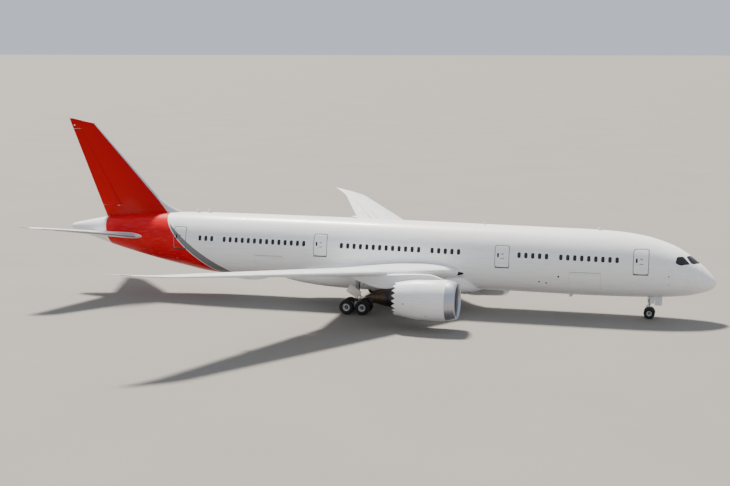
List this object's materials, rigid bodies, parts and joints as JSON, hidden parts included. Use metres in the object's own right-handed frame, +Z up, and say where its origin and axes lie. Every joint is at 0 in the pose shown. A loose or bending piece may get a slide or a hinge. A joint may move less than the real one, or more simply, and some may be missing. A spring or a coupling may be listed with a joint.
{
  "type": "long twin engined wide body airliner, 1:2 scale model",
  "caption": "Low winged twin engined airliner on its wheels, with turning fans and wheels, nose steering, flaps, spoilers, rudder, elevators, ailerons and opening cargo doors.",
  "frame": {"origin": "on the ground under the centre of the bounding box", "axes": "+X forward to the nose, +Y to port, +Z up"},
  "size_m": [31.405, 30.06, 8.51],
  "materials": {
    "white_paint": "gloss white",
    "red_paint": "gloss red",
    "wing_paint": "satin pale grey",
    "bare_metal": "polished",
    "hot_metal": "heat tinted",
    "fan_blades": "dark composite with metal edges",
    "gear_paint": "gloss pale grey",
    "tyre": "matt",
    "glazing": "dark"
  },
  "bodies": {
    "airframe": {"radome": "white_paint", "windscreen": "glazing", "forward_fuselage": "white_paint", "centre_fuselage": "white_paint", "wing_body_fairing": "white_paint", "aft_fuselage": "white_paint", "tail_fuselage": "red_paint", "tail_cone": "white_paint", "fin": "red_paint", "tailplane_left": "wing_paint", "tailplane_right": "wing_paint", "wing_left": "wing_paint", "wing_right": "wing_paint", "pylon_left": "white_paint", "pylon_right": "white_paint", "inlet_lip_left": "bare_metal", "inlet_lip_right": "bare_metal", "fan_cowl_left": "white_paint", "fan_cowl_right": "white_paint", "engine_core_left": "bare_metal", "engine_core_right": "bare_metal", "exhaust_nozzle_left": "hot_metal", "exhaust_nozzle_right": "hot_metal", "main_leg_left": "gear_paint", "main_leg_right": "gear_paint", "bogie_left": "gear_paint", "bogie_right": "gear_paint", "leg_door_left": "white_paint", "leg_door_right": "white_paint", "nose_leg": "gear_paint", "nose_gear_door_left": "white_paint", "nose_gear_door_right": "white_paint"},
    "rudder": {"rudder": "red_paint"},
    "elevator_left": {"elevator_left": "wing_paint"},
    "elevator_right": {"elevator_right": "wing_paint"},
    "aileron_left": {"aileron_left": "wing_paint"},
    "aileron_right": {"aileron_right": "wing_paint"},
    "flaperon_left": {"flaperon_left": "wing_paint"},
    "flaperon_right": {"flaperon_right": "wing_paint"},
    "inboard_flap_left": {"inboard_flap_left": "wing_paint"},
    "inboard_flap_right": {"inboard_flap_right": "wing_paint"},
    "outboard_flap_left": {"outboard_flap_left": "wing_paint"},
    "outboard_flap_right": {"outboard_flap_right": "wing_paint"},
    "inboard_spoilers_left": {"inboard_spoilers_left": "wing_paint"},
    "inboard_spoilers_right": {"inboard_spoilers_right": "wing_paint"},
    "outboard_spoilers_left": {"outboard_spoilers_left": "wing_paint"},
    "outboard_spoilers_right": {"outboard_spoilers_right": "wing_paint"},
    "forward_cargo_door": {"forward_cargo_door": "white_paint"},
    "aft_cargo_door": {"aft_cargo_door": "white_paint"},
    "fan_left": {"fan_left": "fan_blades"},
    "fan_right": {"fan_right": "fan_blades"},
    "main_wheels_front_left": {"main_wheels_front_left": "tyre"},
    "main_wheels_front_right": {"main_wheels_front_right": "tyre"},
    "main_wheels_rear_left": {"main_wheels_rear_left": "tyre"},
    "main_wheels_rear_right": {"main_wheels_rear_right": "tyre"},
    "nose_steering": {"nose_fork": "gear_paint"},
    "nose_wheels": {"nose_wheels": "tyre"}
  },
  "joints": [
    {"name": "rudder_hinge", "type": "hinge", "parent": "airframe", "child": "rudder", "pos_m": [-12.76868, 0, 4.25], "axis": [-0.4912, 0, 0.871], "range_deg": [-27, 27]},
    {"name": "elevator_left_hinge", "type": "hinge", "parent": "airframe", "child": "elevator_left", "pos_m": [-13.34448, 1.15, 2.99093], "axis": [-0.4403, 0.882, 0.168], "range_deg": [-20, 27]},
    {"name": "elevator_right_hinge", "type": "hinge", "parent": "airframe", "child": "elevator_right", "pos_m": [-13.34448, -1.15, 2.99093], "axis": [0.4403, 0.882, -0.168], "range_deg": [-20, 27]},
    {"name": "aileron_left_hinge", "type": "hinge", "parent": "airframe", "child": "aileron_left", "pos_m": [-3.11677, 10.075, 2.99844], "axis": [-0.4347, 0.8933, 0.1144], "range_deg": [-25, 25]},
    {"name": "aileron_right_hinge", "type": "hinge", "parent": "airframe", "child": "aileron_right", "pos_m": [-3.11677, -10.075, 2.99844], "axis": [0.4347, 0.8933, -0.1144], "range_deg": [-25, 25]},
    {"name": "flaperon_left_hinge", "type": "hinge", "parent": "airframe", "child": "flaperon_left", "pos_m": [-0.45106, 4.325, 2.2489], "axis": [-0.3378, 0.9321, 0.1305], "range_deg": [-30, 20]},
    {"name": "flaperon_right_hinge", "type": "hinge", "parent": "airframe", "child": "flaperon_right", "pos_m": [-0.45106, -4.325, 2.2489], "axis": [0.3378, 0.9321, -0.1305], "range_deg": [-30, 20]},
    {"name": "inboard_flap_left_hinge", "type": "hinge", "parent": "airframe", "child": "inboard_flap_left", "pos_m": [-0.05088, 1.83399, 1.61903], "axis": [-0.151, 0.9742, 0.168], "range_deg": [-30, 0]},
    {"name": "inboard_flap_right_hinge", "type": "hinge", "parent": "airframe", "child": "inboard_flap_right", "pos_m": [-0.05088, -1.83399, 1.61903], "axis": [0.151, 0.9742, -0.168], "range_deg": [-30, 0]},
    {"name": "outboard_flap_left_hinge", "type": "hinge", "parent": "airframe", "child": "outboard_flap_left", "pos_m": [-1.10935, 5.9754, 2.27195], "axis": [-0.4347, 0.8933, 0.1144], "range_deg": [-30, 0]},
    {"name": "outboard_flap_right_hinge", "type": "hinge", "parent": "airframe", "child": "outboard_flap_right", "pos_m": [-1.10935, -5.9754, 2.27195], "axis": [0.4347, 0.8933, -0.1144], "range_deg": [-30, 0]},
    {"name": "inboard_spoilers_left_hinge", "type": "hinge", "parent": "airframe", "child": "inboard_spoilers_left", "pos_m": [0.41433, 2.125, 2.13783], "axis": [-0.1684, 0.9779, 0.1243], "range_deg": [0, 60]},
    {"name": "inboard_spoilers_right_hinge", "type": "hinge", "parent": "airframe", "child": "inboard_spoilers_right", "pos_m": [0.41433, -2.125, 2.13783], "axis": [0.1684, 0.9779, -0.1243], "range_deg": [0, 60]},
    {"name": "outboard_spoilers_left_hinge", "type": "hinge", "parent": "airframe", "child": "outboard_spoilers_left", "pos_m": [-0.71726, 6, 2.60625], "axis": [-0.456, 0.8842, 0.1016], "range_deg": [0, 60]},
    {"name": "outboard_spoilers_right_hinge", "type": "hinge", "parent": "airframe", "child": "outboard_spoilers_right", "pos_m": [-0.71726, -6, 2.60625], "axis": [0.456, 0.8842, -0.1016], "range_deg": [0, 60]},
    {"name": "forward_cargo_door_hinge", "type": "hinge", "parent": "airframe", "child": "forward_cargo_door", "pos_m": [10.7775, -1.43184, 2.168], "axis": [-1, 0, 0], "range_deg": [0, 110]},
    {"name": "aft_cargo_door_hinge", "type": "hinge", "parent": "airframe", "child": "aft_cargo_door", "pos_m": [-3.9475, -1.43442, 2.288], "axis": [-1, 0, 0], "range_deg": [0, 110]},
    {"name": "fan_left_spin", "type": "hinge", "parent": "airframe", "child": "fan_left", "pos_m": [4.2025, 4.875, 1.315], "axis": [1, 0, 0], "continuous": true},
    {"name": "fan_right_spin", "type": "hinge", "parent": "airframe", "child": "fan_right", "pos_m": [4.2025, -4.875, 1.315], "axis": [1, 0, 0], "continuous": true},
    {"name": "main_wheels_front_left_roll", "type": "hinge", "parent": "airframe", "child": "main_wheels_front_left", "pos_m": [0.3175, 2.45, 0.33779], "axis": [0, 1, 0], "continuous": true},
    {"name": "main_wheels_front_right_roll", "type": "hinge", "parent": "airframe", "child": "main_wheels_front_right", "pos_m": [0.3175, -2.45, 0.33779], "axis": [0, 1, 0], "continuous": true},
    {"name": "main_wheels_rear_left_roll", "type": "hinge", "parent": "airframe", "child": "main_wheels_rear_left", "pos_m": [-0.4125, 2.45, 0.33779], "axis": [0, 1, 0], "continuous": true},
    {"name": "main_wheels_rear_right_roll", "type": "hinge", "parent": "airframe", "child": "main_wheels_rear_right", "pos_m": [-0.4125, -2.45, 0.33779], "axis": [0, 1, 0], "continuous": true},
    {"name": "nose_steering_pivot", "type": "hinge", "parent": "airframe", "child": "nose_steering", "pos_m": [12.8675, 0, 0.5], "axis": [0, 0, 1], "range_deg": [-70, 70]},
    {"name": "nose_wheels_roll", "type": "hinge", "parent": "nose_steering", "child": "nose_wheels", "pos_m": [12.8675, 0, 0.25014], "axis": [0, 1, 0], "continuous": true}
  ]
}
